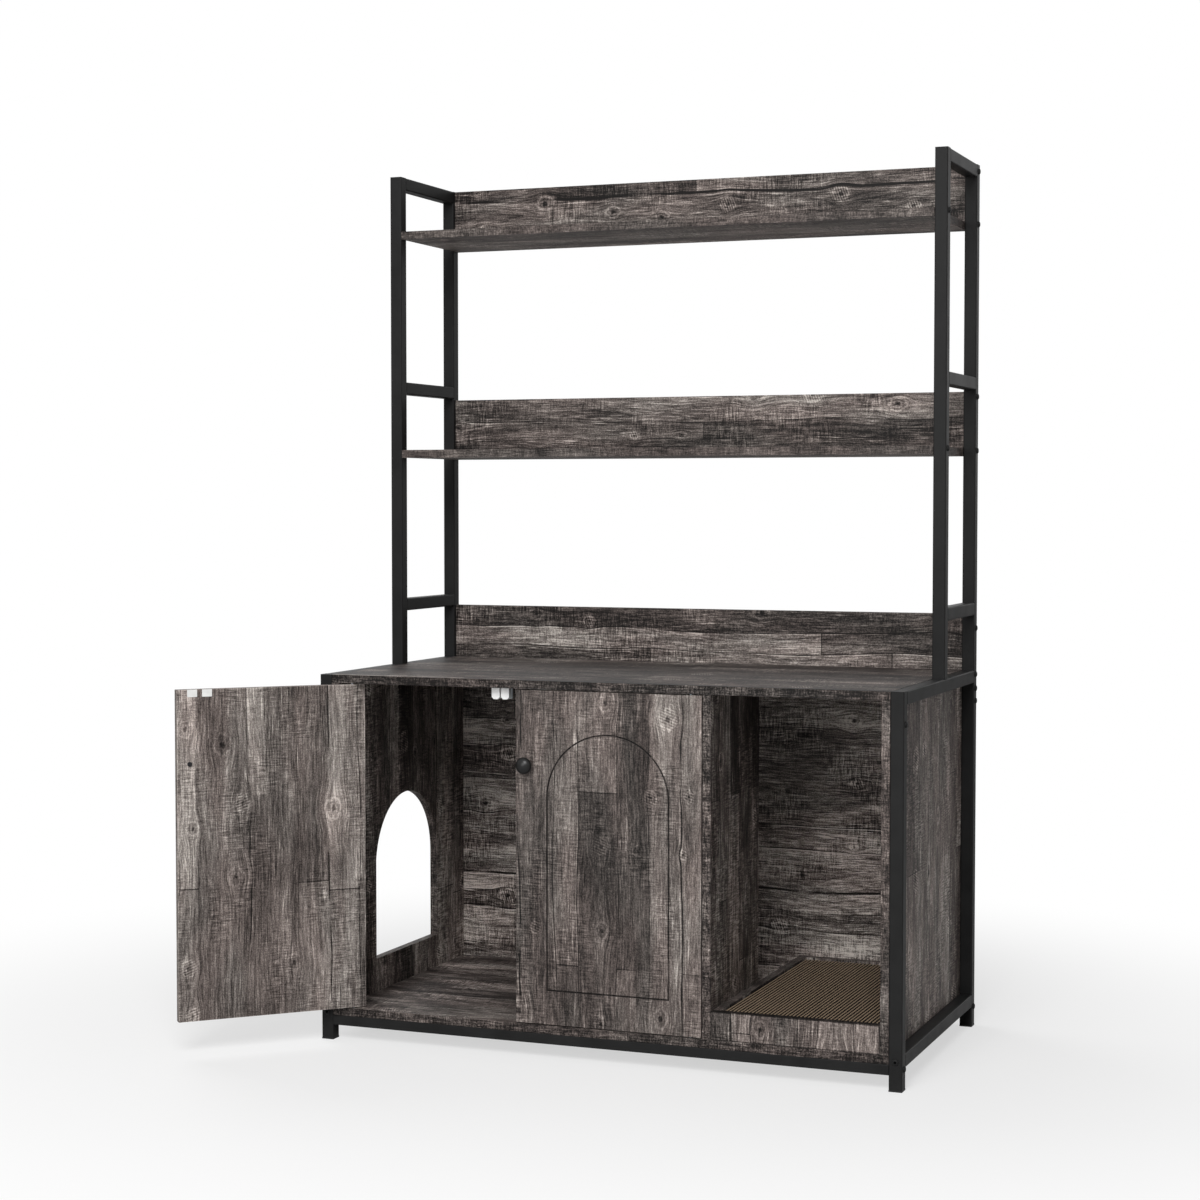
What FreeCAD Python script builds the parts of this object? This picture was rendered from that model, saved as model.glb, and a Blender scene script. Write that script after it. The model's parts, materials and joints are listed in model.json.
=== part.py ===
import FreeCAD, Part
import os
import re
import Sketcher

# Cat litter box cabinet: a two-door base with a side arch for the cat and an open niche
# for a scratch pad, under an open hutch of two shelves between steel tube ladders.
# Sizes are in millimetres and angles in degrees. Inside this file a place is measured
# from the base's left outer face (x), its front (y) and the floor (z).

V = FreeCAD.Vector
Fix = Sketcher.Constraint

DIMENSIONS = {
    # the whole cabinet
    "width": 1164,
    "depth": 589,
    "base_height": 716,
    "total_height": 1717,
    "hutch_setback": 311,
    # square steel tube
    "tube": 25,
    "tube_wall": 1.2,
    "tube_radius": 2.5,
    "cross_rail": 20,
    "sleeve_length": 110,
    "slide_fit": 0.1,
    "foot_thickness": 3,
    "foot_spigot": 14,
    # boards
    "board": 16,
    "floor_top": 65,
    "partition_left": 787.5,
    "partition_depth": 290,
    "shelf_pitch": 447,
    "backboard_height": 112,
    "upper_rung_rise": 140,
    "lower_rung_rise": 135,
    # the cat's arch in the left side panel
    "arch_width": 284,
    "arch_height": 323,
    "arch_sill": 67,
    "arch_centre": 297.5,
    # the niche's tray and its cardboard scratch pad
    "tray_height": 53,
    "pad_thickness": 52.5,
    "pad_front_gap": 2,
    "pad_rear_gap": 17,
    "pad_left_gap": 7.5,
    "pad_right_gap": 3,
    # doors
    "door_gap": 2,
    "open_angle": 135,
    "groove_arch": 243,
    "groove_arch_height": 486,
    "groove_sill": 65,
    "groove_width": 3,
    "groove_depth": 2,
    # pin pivots
    "pin_inset": 23,
    "pin_diameter": 5,
    "pin_seat": 16,
    "pin_fit": 0.05,
    "pin_end_gap": 0.3,
    "bush_diameter": 9,
    "bush_length": 12,
    "bush_fit": 0.05,
    # knobs
    "knob_height": 557,
    "knob_inset": 24,
    "knob_diameter": 32,
    "knob_reach": 30,
    "knob_rim": 6,
    "knob_bevel": 4,
    "knob_neck": 13,
    "knob_neck_length": 13,
    "screw_diameter": 4,
    "screw_bite": 8,
    "screw_head": 9,
    "screw_head_height": 2.4,
    "screw_fit": 0.15,
    # magnetic catches and their strikers
    "striker_inset": 20,
    "striker_width": 19,
    "striker_height": 14,
    "striker_thickness": 2,
    "striker_pitch": 28.5,
    "catch_gap": 0.5,
    "catch_width": 16.5,
    "catch_pitch": 19.5,
    "catch_drop": 23,
    "catch_depth": 14.5,
    "catch_chamfer": 4,
}

# Places that follow from the sizes above.
PANEL_TOP = "(base_height - board)"
PANEL_HEIGHT = "(base_height - board - floor_top)"
INNER_LEFT = "(tube + board)"
INNER_RIGHT = "(width - tube - board)"
BOARD_LENGTH = "(width - 2 * tube)"
PARTITION_RIGHT = "(partition_left + board)"
NICHE_WIDTH = f"({INNER_RIGHT} - {PARTITION_RIGHT})"
BACK_FACE = "(depth - board)"
HUTCH_DEPTH = "(depth - hutch_setback)"
TOP_SHELF_TOP = "(total_height - backboard_height)"
MIDDLE_SHELF_TOP = f"({TOP_SHELF_TOP} - shelf_pitch)"
PAD_LEFT = f"({PARTITION_RIGHT} + board + pad_left_gap)"
PAD_FRONT = "(board + pad_front_gap)"
SLIDE_IN = "(tube - 2 * tube_wall - 2 * slide_fit)"
CROSS_RAIL_MIDDLE = "(floor_top - board - cross_rail / 2)"
DOOR_WIDTH = f"((partition_left - {INNER_LEFT} - 3 * door_gap) / 2)"
DOOR_HEIGHT = f"({PANEL_HEIGHT} - 2 * door_gap)"
DOOR_BOTTOM = "(floor_top + door_gap)"
PIN_TO_EDGE = f"({DOOR_WIDTH} - pin_inset)"
PIN_LEFT = f"({INNER_LEFT} + door_gap + pin_inset)"
PIN_RIGHT = "(partition_left - door_gap - pin_inset)"
PIN_DEPTH = "(board / 2)"

# The origin is on the floor, under the middle of the box that holds everything,
# with the left door standing open: its knob reaches furthest left, its edge nearest.
KNOB_REACH_LEFT = (
    f"({PIN_LEFT} + ({PIN_TO_EDGE} - knob_inset + knob_diameter / 2) * cos(open_angle)"
    " - (board / 2 + knob_reach - knob_bevel) * sin(open_angle))"
)
DOOR_REACH_FRONT = (
    f"({PIN_DEPTH} - {PIN_TO_EDGE} * sin(open_angle) + board / 2 * cos(open_angle))"
)
MIDDLE_X = f"((width + {KNOB_REACH_LEFT}) / 2)"
MIDDLE_Y = f"((depth + {DOOR_REACH_FRONT}) / 2)"

# A direction is turned from upright by an angle about an axis.
UPRIGHT = (V(0, 0, 1), 0)
ACROSS = (V(0, 1, 0), 90)
TO_THE_BACK = (V(1, 0, 0), -90)

doc = FreeCAD.newDocument("LitterBoxCabinet")
sheet = doc.addObject("Spreadsheet::Sheet", "Sizes")
for row, (alias, value) in enumerate(DIMENSIONS.items(), start=1):
    sheet.set(f"A{row}", alias.replace("_", " "))
    sheet.set(f"B{row}", str(value))
    sheet.setAlias(f"B{row}", alias)
doc.recompute()

nodes = []


# ---------------------------------------------------------------- bindings
def from_sheet(expression):
    """The expression with each size's name pointing at its cell."""
    return re.sub(
        r"[a-z_]+",
        lambda word: f"Sizes.{word[0]}" if word[0] in DIMENSIONS else word[0],
        expression,
    )


def bind(thing, prop, expression):
    thing.setExpression(prop, from_sheet(expression))


def place(thing, x, y, z, direction=UPRIGHT):
    """Puts an object's own origin at a place in the cabinet, turned to a direction."""
    thing.Placement.Rotation = FreeCAD.Rotation(*direction)
    bind(thing, "Placement.Base.x", f"{x} - {MIDDLE_X}")
    bind(thing, "Placement.Base.y", f"{y} - {MIDDLE_Y}")
    bind(thing, "Placement.Base.z", z)


def node(thing, label):
    """Gives a finished sub-part its name and keeps it for writing."""
    thing.Label = label
    nodes.append(thing)
    return thing


# ---------------------------------------------------------------- sketches
def new_sketch(body, role, x="0", y="0", off="0", flipped=False):
    """A sketch on one of the body's origin planes, its own origin moved to x, y, off."""
    sketch = body.newObject("Sketcher::SketchObject", "outline")
    plane = [face for face in body.Origin.OriginFeatures if face.Role == role][0]
    sketch.AttachmentSupport = [(plane, "")]
    sketch.MapMode = "FlatFace"
    if flipped:
        sketch.AttachmentOffset = FreeCAD.Placement(V(), FreeCAD.Rotation(V(1, 0, 0), 180))
    bind(sketch, "AttachmentOffset.Base.x", x)
    bind(sketch, "AttachmentOffset.Base.y", y)
    bind(sketch, "AttachmentOffset.Base.z", off)
    return sketch


def dimension(sketch, constraint, expression):
    index = sketch.addConstraint(constraint)
    bind(sketch, f"Constraints[{index}]", expression)


def join_ends(sketch, first, count):
    """Joins a run of edges end to end into a closed loop."""
    for step in range(count):
        sketch.addConstraint(Fix("Coincident", first + step, 2, first + (step + 1) % count, 1))


def rectangle(sketch, width, height):
    """A rectangle with its middle on the sketch's origin."""
    first = sketch.GeometryCount
    corners = [V(-20, -10, 0), V(20, -10, 0), V(20, 10, 0), V(-20, 10, 0)]
    for step in range(4):
        sketch.addGeometry(Part.LineSegment(corners[step], corners[(step + 1) % 4]), False)
    join_ends(sketch, first, 4)
    for flat in (first, first + 2):
        sketch.addConstraint(Fix("Horizontal", flat))
        sketch.addConstraint(Fix("Vertical", flat + 1))
    sketch.addConstraint(Fix("Symmetric", first, 1, first + 2, 1, -1, 1))
    dimension(sketch, Fix("DistanceX", first, 1, first, 2, 40), width)
    dimension(sketch, Fix("DistanceY", first + 1, 1, first + 1, 2, 20), height)


def arch(sketch, width, height, straight):
    """A round-headed arch about the sketch's upright axis: its overall width, the height
    of its crown over the sketch's origin, and the length of its straight sides."""
    first = sketch.GeometryCount
    half, spring, base = 100, 200, 10
    sketch.addGeometry(Part.LineSegment(V(-half, base, 0), V(half, base, 0)), False)
    sketch.addGeometry(Part.LineSegment(V(half, base, 0), V(half, spring, 0)), False)
    crown = Part.Arc(V(half, spring, 0), V(0, spring + half, 0), V(-half, spring, 0))
    sketch.addGeometry(crown, False)
    sketch.addGeometry(Part.LineSegment(V(-half, spring, 0), V(-half, base, 0)), False)
    sill, right, head, left = range(first, first + 4)
    for one, its_end, other, other_end in (
        (sill, 2, right, 1), (right, 2, head, 1), (head, 2, left, 1), (left, 2, sill, 1),
    ):
        sketch.addConstraint(Fix("Coincident", one, its_end, other, other_end))
    sketch.addConstraint(Fix("Horizontal", sill))
    sketch.addConstraint(Fix("Vertical", right))
    sketch.addConstraint(Fix("Vertical", left))
    sketch.addConstraint(Fix("PointOnObject", head, 3, -2))
    sketch.addConstraint(Fix("Horizontal", head, 3, head, 1))
    dimension(sketch, Fix("Radius", head, half), f"({width}) / 2")
    dimension(sketch, Fix("DistanceY", -1, 1, head, 3, spring), f"({height}) - ({width}) / 2")
    dimension(sketch, Fix("DistanceY", right, 1, right, 2, spring - base), straight)


def profile(sketch, points):
    """A closed outline through points given as pairs of expressions, none negative."""
    first = sketch.GeometryCount
    count = len(points)
    rough = [V(*(sheet.evalExpression(from_sheet(part)) for part in point)) for point in points]
    for step in range(count):
        sketch.addGeometry(Part.LineSegment(rough[step], rough[(step + 1) % count]), False)
    join_ends(sketch, first, count)
    for step, (x, y) in enumerate(points):
        hold_point(sketch, first + step, x, y)


def hold_point(sketch, edge, x, y):
    """Holds the start of an edge at its distances from the sketch's two axes."""
    for kind, axis, expression in (("DistanceX", -2, x), ("DistanceY", -1, y)):
        if expression == "0":
            sketch.addConstraint(Fix("PointOnObject", edge, 1, axis))
        else:
            size = sheet.evalExpression(from_sheet(expression))
            dimension(sketch, Fix(kind, -1, 1, edge, 1, size), expression)


def round_hole(sketch, across):
    """A circle about the sketch's origin."""
    circle = sketch.addGeometry(Part.Circle(V(0, 0, 0), V(0, 0, 1), 2), False)
    sketch.addConstraint(Fix("Coincident", circle, 3, -1, 1))
    dimension(sketch, Fix("Diameter", circle, 4), across)


# ---------------------------------------------------------------- features
def new_body():
    return doc.addObject("PartDesign::Body", "Body")


def pad(body, sketch, length, backwards=False):
    feature = body.newObject("PartDesign::Pad", "pad")
    feature.Profile = sketch
    feature.Reversed = backwards
    bind(feature, "Length", length)
    return feature


def pocket(body, sketch, depth, backwards=False):
    """Cuts a sketch into the body and makes sure that it took something away."""
    doc.recompute()
    before = body.Shape.Volume
    feature = body.newObject("PartDesign::Pocket", "pocket")
    feature.Profile = sketch
    feature.Reversed = backwards
    bind(feature, "Length", depth)
    doc.recompute()
    if body.Shape.Volume >= before:
        raise RuntimeError(f"the pocket in {body.Label} cuts nothing")
    return feature


def box(size, corner):
    """A plain board, by its size and its corner nearest the cabinet's left front foot."""
    shape = doc.addObject("Part::Box", "Board")
    for prop, expression in zip(("Length", "Width", "Height"), size):
        bind(shape, prop, expression)
    place(shape, *corner)
    return shape


def group(pieces):
    """Several separate solids of one kind, kept as one sub-part."""
    together = doc.addObject("Part::Compound", "Group")
    together.Links = pieces
    return together


def drilled(board, holes):
    """The board less upright round holes, each given as x, y, z of its foot, and depth."""
    drills = []
    for x, y, z, across, depth in holes:
        drill = doc.addObject("Part::Cylinder", "Drill")
        bind(drill, "Radius", f"({across}) / 2")
        bind(drill, "Height", depth)
        place(drill, x, y, z)
        drills.append(drill)
    cut = doc.addObject("Part::Cut", "DrilledBoard")
    cut.Base = board
    cut.Tool = group(drills)
    return cut


# ---------------------------------------------------------------- steel frame
def tube(label, size, length, start, direction=UPRIGHT, capped=False):
    """Square tube with rounded corners, from the middle of one end along a direction.
    A capped one is closed at its far end by a plate as thick as its wall."""
    body = new_body()
    outside = new_sketch(body, "XY_Plane")
    rectangle(outside, size, size)
    bar = pad(body, outside, length)
    doc.recompute()
    long_edges = [
        f"Edge{number}"
        for number, edge in enumerate(body.Shape.Edges, start=1)
        if abs(edge.tangentAt(edge.FirstParameter).z) > 0.5
    ]
    rounding = body.newObject("PartDesign::Fillet", "rounding")
    rounding.Base = (bar, long_edges)
    bind(rounding, "Radius", "tube_radius")
    inside = new_sketch(body, "XY_Plane")
    rectangle(inside, f"{size} - 2 * tube_wall", f"{size} - 2 * tube_wall")
    plate = "tube_wall" if capped else "0"
    pocket(body, inside, f"{length} - {plate}", backwards=True)
    place(body, *start, direction)
    return node(body, label)


def foot(label, x, y):
    """Plastic foot: a flat cap under the leg with a square spigot up into it."""
    body = new_body()
    cap = new_sketch(body, "XY_Plane")
    rectangle(cap, "tube", "tube")
    pad(body, cap, "foot_thickness")
    spigot = new_sketch(body, "XY_Plane", off="foot_thickness")
    rectangle(spigot, SLIDE_IN, SLIDE_IN)
    pad(body, spigot, "foot_spigot")
    place(body, x, y, "0")
    node(body, label)


def side_frame(side, x):
    """One side of the steel frame: base legs and rails, hutch uprights, rail and rungs."""
    front, rear = "tube / 2", "depth - tube / 2"
    leg_length = "(base_height - foot_thickness)"
    upright_length = "(total_height - base_height)"
    rail_length = "(depth - 2 * tube)"
    rung_length = f"({HUTCH_DEPTH} - 2 * tube)"

    for end, y, capped in (("front", front, True), ("rear", rear, False)):
        tube(f"{side}_{end}_leg", "tube", leg_length, (x, y, "foot_thickness"), capped=capped)
        foot(f"{side}_{end}_foot", x, y)
    for level, z in (("top", "base_height - tube / 2"), ("bottom", "floor_top - tube / 2")):
        tube(f"{side}_{level}_rail", "tube", rail_length, (x, "tube", z), TO_THE_BACK)

    hutch_front = "hutch_setback + tube / 2"
    for end, y in (("front", hutch_front), ("rear", rear)):
        tube(f"{side}_{end}_upright", "tube", upright_length, (x, y, "base_height"), capped=True)
    for piece, top in (
        ("hutch_rail", "total_height"),
        ("upper_rung", f"{MIDDLE_SHELF_TOP} + upper_rung_rise"),
        ("lower_rung", "base_height + lower_rung_rise"),
    ):
        start = (x, "hutch_setback + tube", f"{top} - tube / 2")
        tube(f"{side}_{piece}", "tube", rung_length, start, TO_THE_BACK)


def sleeve(side, x):
    """Inner tube that joins a rear leg to the upright standing on it."""
    body = new_body()
    outside = new_sketch(body, "XY_Plane")
    rectangle(outside, SLIDE_IN, SLIDE_IN)
    rectangle(outside, f"{SLIDE_IN} - 2 * tube_wall", f"{SLIDE_IN} - 2 * tube_wall")
    pad(body, outside, "sleeve_length")
    place(body, x, "depth - tube / 2", "base_height - sleeve_length / 2")
    node(body, f"{side}_sleeve")


def cross_rails():
    """The two thinner rails under the floor board, between the legs."""
    for end, y in (("front", "cross_rail / 2"), ("rear", "depth - cross_rail / 2")):
        start = ("tube", y, CROSS_RAIL_MIDDLE)
        tube(f"{end}_cross_rail", "cross_rail", BOARD_LENGTH, start, ACROSS)


# ---------------------------------------------------------------- boards
def pivot_holes(foot_height):
    """The blind holes for one level of pivot bushes, one for each door."""
    across = "bush_diameter + 2 * bush_fit"
    return [(x, PIN_DEPTH, foot_height, across, "bush_length") for x in (PIN_LEFT, PIN_RIGHT)]


def level_boards():
    """Floor board, tabletop and shelves, all between the two side frames."""
    flat = (BOARD_LENGTH, "depth", "board")
    floor = box(flat, ("tube", "0", "floor_top - board"))
    node(drilled(floor, pivot_holes("floor_top - bush_length")), "bottom_board")
    top = box(flat, ("tube", "0", PANEL_TOP))
    node(drilled(top, pivot_holes(PANEL_TOP)), "tabletop")
    shelf = (BOARD_LENGTH, HUTCH_DEPTH, "board")
    for label, its_top in (("middle_shelf", MIDDLE_SHELF_TOP), ("top_shelf", TOP_SHELF_TOP)):
        node(box(shelf, ("tube", "hutch_setback", f"{its_top} - board")), label)


def back_boards():
    """The base's back panel and the low boards behind the tabletop and each shelf."""
    size = (f"({INNER_RIGHT} - {INNER_LEFT})", "board", PANEL_HEIGHT)
    node(box(size, (INNER_LEFT, BACK_FACE, "floor_top")), "back_panel")
    low = (BOARD_LENGTH, "board", "backboard_height")
    for label, stands_on in (
        ("lower_backboard", "base_height"),
        ("middle_backboard", MIDDLE_SHELF_TOP),
        ("upper_backboard", TOP_SHELF_TOP),
    ):
        node(box(low, ("tube", BACK_FACE, stands_on)), label)


def side_panels():
    """The left side panel has the cat's arch; the right one is whole."""
    body = new_body()
    outline = new_sketch(body, "YZ_Plane", x="depth / 2", y=f"{PANEL_HEIGHT} / 2")
    rectangle(outline, "depth", PANEL_HEIGHT)
    pad(body, outline, "board")
    doorway = new_sketch(body, "YZ_Plane", x="arch_centre", y="arch_sill")
    arch(doorway, "arch_width", "arch_height", "arch_height - arch_width / 2")
    pocket(body, doorway, "board", backwards=True)
    place(body, "tube", "0", "floor_top")
    node(body, "left_side_panel")
    size = ("board", "depth", PANEL_HEIGHT)
    node(box(size, (INNER_RIGHT, "0", "floor_top")), "right_side_panel")


def inner_boards():
    """The partition, which leaves the cat a passage behind it, and the niche's tray."""
    size = ("board", "partition_depth", PANEL_HEIGHT)
    node(box(size, ("partition_left", "0", "floor_top")), "partition")
    apron = (NICHE_WIDTH, "board", "tray_height")
    node(box(apron, (PARTITION_RIGHT, "0", "floor_top")), "tray_apron")
    side = ("board", f"({BACK_FACE} - board)", "tray_height")
    node(box(side, (PARTITION_RIGHT, "board", "floor_top")), "tray_side_board")
    rear = (f"({NICHE_WIDTH} - board)", "board", "tray_height")
    corner = (f"{PARTITION_RIGHT} + board", f"{BACK_FACE} - board", "floor_top")
    node(box(rear, corner), "tray_rear_board")


def scratch_pad():
    """Corrugated cardboard block that lifts out of the tray."""
    width = f"{INNER_RIGHT} - pad_right_gap - {PAD_LEFT}"
    length = f"{BACK_FACE} - board - pad_rear_gap - {PAD_FRONT}"
    size = (width, length, "pad_thickness")
    node(box(size, (PAD_LEFT, PAD_FRONT, "floor_top")), "scratch_pad")


# ---------------------------------------------------------------- doors
# A door and all that is fixed to it share one frame: upright on the pivot axis,
# with the door's free edge towards +x on the left door and -x on the right one,
# its outer face towards -y, and z from the floor.
def hang(thing, side):
    """Puts a piece drawn in a door's frame on that door, the left one standing open."""
    place(thing, PIN_LEFT if side == "left" else PIN_RIGHT, PIN_DEPTH, "0")
    if side == "left":
        bind(thing, "Placement.Rotation.Angle", "-open_angle")


def towards_edge(side, distance):
    """A distance from the pivot axis towards the free edge, as a place along x."""
    return f"({distance})" if side == "left" else f"(-({distance}))"


def knob_place(side):
    """The middle of a door's knob, as a place along x."""
    return towards_edge(side, f"{PIN_TO_EDGE} - knob_inset")


def door(side):
    """Board with a routed arch, blind holes for its pins and a hole for its knob screw."""
    middle = towards_edge(side, f"{DOOR_WIDTH} / 2 - pin_inset")
    body = new_body()
    outline = new_sketch(body, "XZ_Plane", middle, f"{DOOR_BOTTOM} + {DOOR_HEIGHT} / 2", "board / 2")
    rectangle(outline, DOOR_WIDTH, DOOR_HEIGHT)
    pad(body, outline, "board", backwards=True)

    groove_foot = f"{DOOR_BOTTOM} + groove_sill - groove_width / 2"
    groove = new_sketch(body, "XZ_Plane", middle, groove_foot, "board / 2")
    straight = "groove_arch_height - groove_arch / 2"
    outer = ("groove_arch + groove_width", "groove_arch_height + groove_width")
    inner = ("groove_arch - groove_width", "groove_arch_height")
    arch(groove, *outer, f"{straight} + groove_width / 2")
    arch(groove, *inner, f"{straight} - groove_width / 2")
    pocket(body, groove, "groove_depth")

    for level, backwards in ((DOOR_BOTTOM, True), (f"{DOOR_BOTTOM} + {DOOR_HEIGHT}", False)):
        seat = new_sketch(body, "XY_Plane", off=level)
        round_hole(seat, "pin_diameter + 2 * pin_fit")
        pocket(body, seat, "pin_seat", backwards)

    screw_hole = new_sketch(body, "XZ_Plane", knob_place(side), "knob_height", "board / 2")
    round_hole(screw_hole, "screw_diameter + 2 * screw_fit")
    pocket(body, screw_hole, "board")
    hang(body, side)
    node(body, f"{side}_door")


def knob(side):
    """Turned knob: neck, flared back, rim and bevelled face, bored for its screw."""
    bore, neck, rim = "screw_diameter / 2 + screw_fit", "knob_neck / 2", "knob_diameter / 2"
    rim_front = "knob_reach - knob_bevel"
    bore_end = "screw_bite + pin_end_gap"
    body = new_body()
    turned = new_sketch(body, "XY_Plane", knob_place(side), "-board / 2", "knob_height", True)
    points = [
        (bore, "0"),
        (neck, "0"),
        (neck, "knob_neck_length"),
        (rim, f"{rim_front} - knob_rim"),
        (rim, rim_front),
        (f"{rim} - knob_bevel", "knob_reach"),
        ("0", "knob_reach"),
        ("0", bore_end),
        (bore, bore_end),
    ]
    profile(turned, points)
    turn(body, turned)
    hang(body, side)
    node(body, f"{side}_knob")


def turn(body, outline):
    """Turns an outline into a round solid about the outline's upright axis."""
    feature = body.newObject("PartDesign::Revolution", "turned")
    feature.Profile = outline
    feature.ReferenceAxis = (outline, ["V_Axis"])
    feature.Angle = 360


def knob_screw(side):
    """Cheese-head screw through the door into the knob, its head on the door's inside."""
    head, shank = "screw_head / 2", "screw_diameter / 2"
    tip = "screw_head_height + board + screw_bite"
    body = new_body()
    inside = "board / 2 + screw_head_height"
    turned = new_sketch(body, "XY_Plane", knob_place(side), inside, "knob_height", True)
    points = [
        ("0", "0"),
        (head, "0"),
        (head, "screw_head_height"),
        (shank, "screw_head_height"),
        (shank, tip),
        ("0", tip),
    ]
    profile(turned, points)
    turn(body, turned)
    hang(body, side)
    node(body, f"{side}_knob_screw")


def pivot_pins(side):
    """The two steel pins that a door turns on, seated in its two ends."""
    in_bush = "(bush_length - pin_end_gap)"
    pins = []
    for level in (f"floor_top - {in_bush}", f"{DOOR_BOTTOM} + {DOOR_HEIGHT} - pin_seat"):
        pin = doc.addObject("Part::Cylinder", "Pin")
        bind(pin, "Radius", "pin_diameter / 2")
        bind(pin, "Height", f"pin_seat + door_gap + {in_bush}")
        bind(pin, "Placement.Base.z", level)
        pins.append(pin)
    pair = group(pins)
    hang(pair, side)
    node(pair, f"{side}_door_pins")


def pivot_bushes(side):
    """The two plastic bushes that a door's pins turn in, let into the boards."""
    x = PIN_LEFT if side == "left" else PIN_RIGHT
    bushes = []
    for level in ("floor_top - bush_length", PANEL_TOP):
        body = new_body()
        ring = new_sketch(body, "XY_Plane")
        round_hole(ring, "bush_diameter")
        round_hole(ring, "pin_diameter + 2 * pin_fit")
        pad(body, ring, "bush_length")
        place(body, x, PIN_DEPTH, level)
        bushes.append(body)
    node(group(bushes), f"{side}_pivot_bushes")


# ---------------------------------------------------------------- catches
def strikers(side):
    """Two small plates side by side at the top of a door's inner face."""
    plates = []
    for inset in ("striker_inset", "(striker_inset + striker_pitch)"):
        plate = doc.addObject("Part::Box", "Plate")
        bind(plate, "Length", "striker_width")
        bind(plate, "Width", "striker_thickness")
        bind(plate, "Height", "striker_height")
        near = f"{PIN_TO_EDGE} - {inset}"
        start = f"{near} - striker_width" if side == "left" else near
        bind(plate, "Placement.Base.x", towards_edge(side, start))
        bind(plate, "Placement.Base.y", "board / 2")
        bind(plate, "Placement.Base.z", f"{DOOR_BOTTOM} + {DOOR_HEIGHT} - striker_height")
        plates.append(plate)
    pair = group(plates)
    hang(pair, side)
    node(pair, f"{side}_strikers")


def catches(side):
    """Two catch blocks side by side under the tabletop, behind a door's strikers when it
    is shut, each drawn in at its lower end."""
    front = "(board + striker_thickness + catch_gap)"
    points = [
        ("catch_chamfer", "0"),
        ("catch_width - catch_chamfer", "0"),
        ("catch_width", "catch_chamfer"),
        ("catch_width", "catch_drop"),
        ("0", "catch_drop"),
        ("0", "catch_chamfer"),
    ]
    blocks = []
    for inset in ("striker_inset", "(striker_inset + catch_pitch)"):
        body = new_body()
        outline = new_sketch(body, "XZ_Plane")
        profile(outline, points)
        pad(body, outline, "catch_depth", backwards=True)
        if side == "left":
            x = f"{PIN_LEFT} + {PIN_TO_EDGE} - {inset} - catch_width"
        else:
            x = f"{PIN_RIGHT} - {PIN_TO_EDGE} + {inset}"
        place(body, x, front, f"{PANEL_TOP} - catch_drop")
        blocks.append(body)
    node(group(blocks), f"{side}_catches")


# ---------------------------------------------------------------- the cabinet
def build():
    for side, x in (("left", "tube / 2"), ("right", "width - tube / 2")):
        side_frame(side, x)
        sleeve(side, x)
    cross_rails()
    level_boards()
    back_boards()
    side_panels()
    inner_boards()
    scratch_pad()
    for side in ("left", "right"):
        door(side)
        knob(side)
        knob_screw(side)
        pivot_pins(side)
        pivot_bushes(side)
        strikers(side)
        catches(side)
    doc.recompute()


def write():
    """Checks the whole document, then writes each sub-part to its own file."""
    for thing in doc.Objects:
        if {"Invalid", "Error"} & set(thing.State):
            raise RuntimeError(f"{thing.Name} ({thing.Label}) did not build: {thing.State}")
    os.makedirs("parts", exist_ok=True)
    for thing in nodes:
        if thing.Shape.isNull() or not thing.Shape.isValid():
            raise RuntimeError(f"{thing.Label} has no valid shape")
    for thing in nodes:
        thing.Shape.exportStep(f"parts/{thing.Label}.step")
    print(f"{len(nodes)} sub-parts written")


build()
write()
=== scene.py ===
import json
import math
import random

import bmesh
import bpy
from mathutils import Euler, Matrix, Vector

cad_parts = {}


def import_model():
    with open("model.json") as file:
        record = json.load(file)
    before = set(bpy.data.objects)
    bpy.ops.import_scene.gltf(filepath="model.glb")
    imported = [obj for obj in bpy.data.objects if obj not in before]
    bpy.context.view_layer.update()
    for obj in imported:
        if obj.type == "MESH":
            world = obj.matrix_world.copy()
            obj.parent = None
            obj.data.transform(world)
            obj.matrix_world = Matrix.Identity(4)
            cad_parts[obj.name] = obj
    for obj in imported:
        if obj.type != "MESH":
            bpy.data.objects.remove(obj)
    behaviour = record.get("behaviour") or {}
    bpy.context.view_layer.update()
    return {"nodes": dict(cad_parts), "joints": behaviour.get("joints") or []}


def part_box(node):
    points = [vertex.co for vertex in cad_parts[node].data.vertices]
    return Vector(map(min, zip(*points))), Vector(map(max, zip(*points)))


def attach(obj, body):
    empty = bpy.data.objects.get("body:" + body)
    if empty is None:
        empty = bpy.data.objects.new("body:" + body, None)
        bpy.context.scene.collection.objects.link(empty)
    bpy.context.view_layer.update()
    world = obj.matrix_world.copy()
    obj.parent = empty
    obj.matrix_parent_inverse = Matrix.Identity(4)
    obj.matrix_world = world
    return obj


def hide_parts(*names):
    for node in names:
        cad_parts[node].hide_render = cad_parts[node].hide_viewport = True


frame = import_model()
NODES = frame["nodes"]

# Litter box cabinet, dressed over its fixed frame. Lengths are in metres unless a name
# or comment says otherwise; places come from the frame's own boxes and joints.
MM = 0.001
QUARTER_TURN = math.radians(90)
SIDES = ("left", "right")
HINGES = {joint["child"]: Vector(joint["pos_m"])
          for joint in frame["joints"] if "pos_m" in joint}
OPEN_ANGLE = math.radians(135)  # the left door as it stands at rest

FRAME_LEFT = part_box("left_front_leg")[0].x
FRAME_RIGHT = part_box("right_front_leg")[1].x
FRAME_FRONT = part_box("right_front_leg")[0].y
FRAME_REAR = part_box("right_rear_leg")[1].y
HUTCH_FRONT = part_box("right_front_upright")[0].y
TUBE = 25 * MM
TABLETOP_LOW, TABLETOP_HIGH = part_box("tabletop")
BOARD = TABLETOP_HIGH.z - TABLETOP_LOW.z
TABLETOP_UNDERSIDE = TABLETOP_LOW.z


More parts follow.
